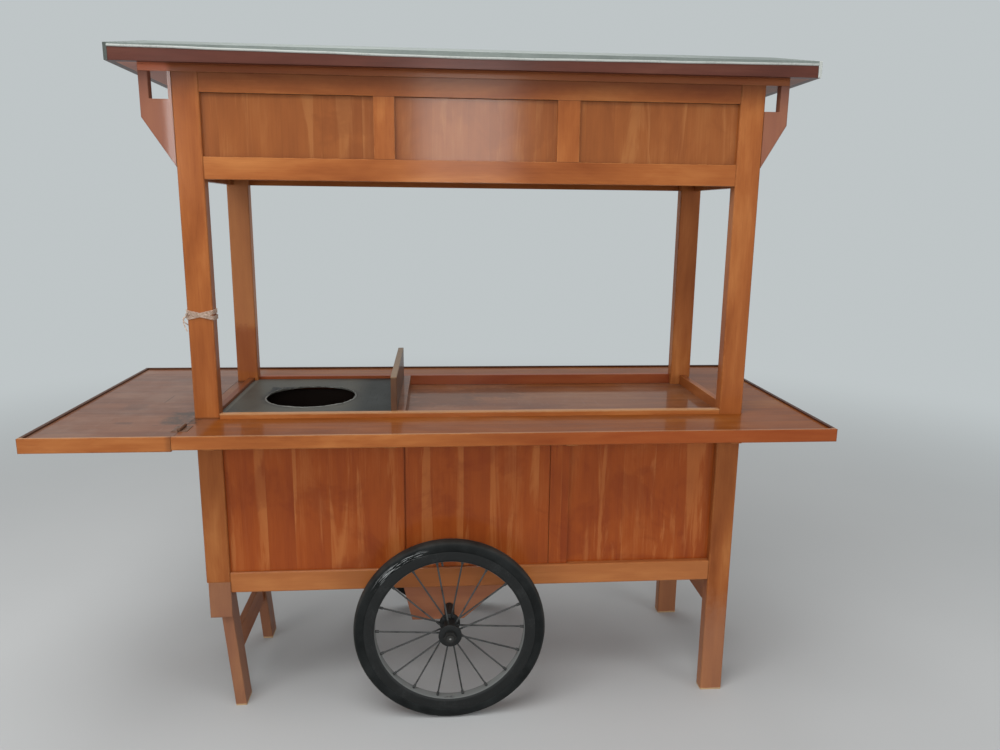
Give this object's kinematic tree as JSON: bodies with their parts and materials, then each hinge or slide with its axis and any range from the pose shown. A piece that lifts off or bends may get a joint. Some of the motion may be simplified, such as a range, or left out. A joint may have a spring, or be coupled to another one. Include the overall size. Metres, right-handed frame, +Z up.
{
  "type": "pushcart food stall",
  "caption": "Varnished wooden food pushcart with panelled cabinet, serving deck with folding leaf, sunk tray, round burner opening, framed canopy and low metal roof on spoked wheels.",
  "frame": {"origin": "middle of the footprint of the whole cart, on the floor", "axes": "+X along the cart from the folding leaf to the fixed end, +Y from the customer's side to the vendor's side, +Z up"},
  "size_m": [2.218, 0.945, 2.0132],
  "materials": {
    "frame_wood": "varnished",
    "panel_wood": "varnished",
    "deck_wood": "gloss varnish",
    "fascia_wood": "varnished",
    "zinc": "dull",
    "roof_metal": "matt grey",
    "wheel_iron": "satin black",
    "steel": "plain",
    "tyre": "matt",
    "twine": "pale raffia"
  },
  "bodies": {
    "cart": {"axle": "steel", "axle_hanger_back": "frame_wood", "axle_hanger_front": "frame_wood", "axle_nut_back": "steel", "axle_nut_front": "steel", "bracket_left_back": "frame_wood", "bracket_left_front": "frame_wood", "bracket_right_back": "frame_wood", "bracket_right_front": "frame_wood", "canopy_end_left": "panel_wood", "canopy_end_right": "panel_wood", "canopy_frame_back": "frame_wood", "canopy_frame_front": "frame_wood", "canopy_panel_back": "panel_wood", "canopy_panel_front": "panel_wood", "curb_back": "frame_wood", "curb_front": "frame_wood", "curb_left": "frame_wood", "curb_right": "frame_wood", "deck_board": "deck_wood", "deck_rim": "frame_wood", "end_stretcher": "frame_wood", "floor_board": "frame_wood", "front_panel_left": "panel_wood", "front_panel_right": "panel_wood", "head_frame": "frame_wood", "leaf_hinge_back": "steel", "leaf_hinge_front": "steel", "partition": "frame_wood", "post_lashing": "twine", "post_left_back": "frame_wood", "post_left_front": "frame_wood", "post_right_back": "frame_wood", "post_right_front": "frame_wood", "roof_fascia": "fascia_wood", "roof_sheet": "roof_metal", "roof_soffit": "frame_wood", "side_panel_left": "panel_wood", "side_panel_right": "panel_wood", "sill_back": "frame_wood", "sill_front": "frame_wood", "sill_left": "frame_wood", "sill_right": "frame_wood", "stand_block_back": "frame_wood", "stand_block_front": "frame_wood", "stand_pivot": "steel", "stove_top": "zinc", "tray_floor": "deck_wood"},
    "wheel_front": {"wheel_front": "wheel_iron", "tyre_front": "tyre"},
    "wheel_back": {"wheel_back": "wheel_iron", "tyre_back": "tyre"},
    "leaf": {"leaf_board": "deck_wood", "leaf_rim": "frame_wood"},
    "stand": {"stand_leg_front": "frame_wood", "stand_leg_back": "frame_wood", "stand_stretcher": "frame_wood"},
    "door_left": {"door_left": "panel_wood"},
    "door_right": {"door_right": "panel_wood"}
  },
  "joints": [
    {"name": "wheel_front_spin", "type": "hinge", "parent": "cart", "child": "wheel_front", "pos_m": [0.017, -0.3455, 0.29], "axis": [0, 1, 0], "continuous": true},
    {"name": "wheel_back_spin", "type": "hinge", "parent": "cart", "child": "wheel_back", "pos_m": [0.017, 0.3455, 0.29], "axis": [0, 1, 0], "continuous": true},
    {"name": "leaf_fold", "type": "hinge", "parent": "cart", "child": "leaf", "pos_m": [-0.7195, 0, 0.942], "axis": [0, 1, 0], "range_deg": [0, 86]},
    {"name": "stand_fold", "type": "hinge", "parent": "cart", "child": "stand", "pos_m": [-0.668, 0, 0.355], "axis": [0, -1, 0], "range_deg": [0, 85]},
    {"name": "door_left_slide", "type": "slide", "parent": "cart", "child": "door_left", "axis": [1, 0, 0], "range_m": [0, 0.7]},
    {"name": "door_right_slide", "type": "slide", "parent": "cart", "child": "door_right", "axis": [-1, 0, 0], "range_m": [0, 0.7]}
  ]
}
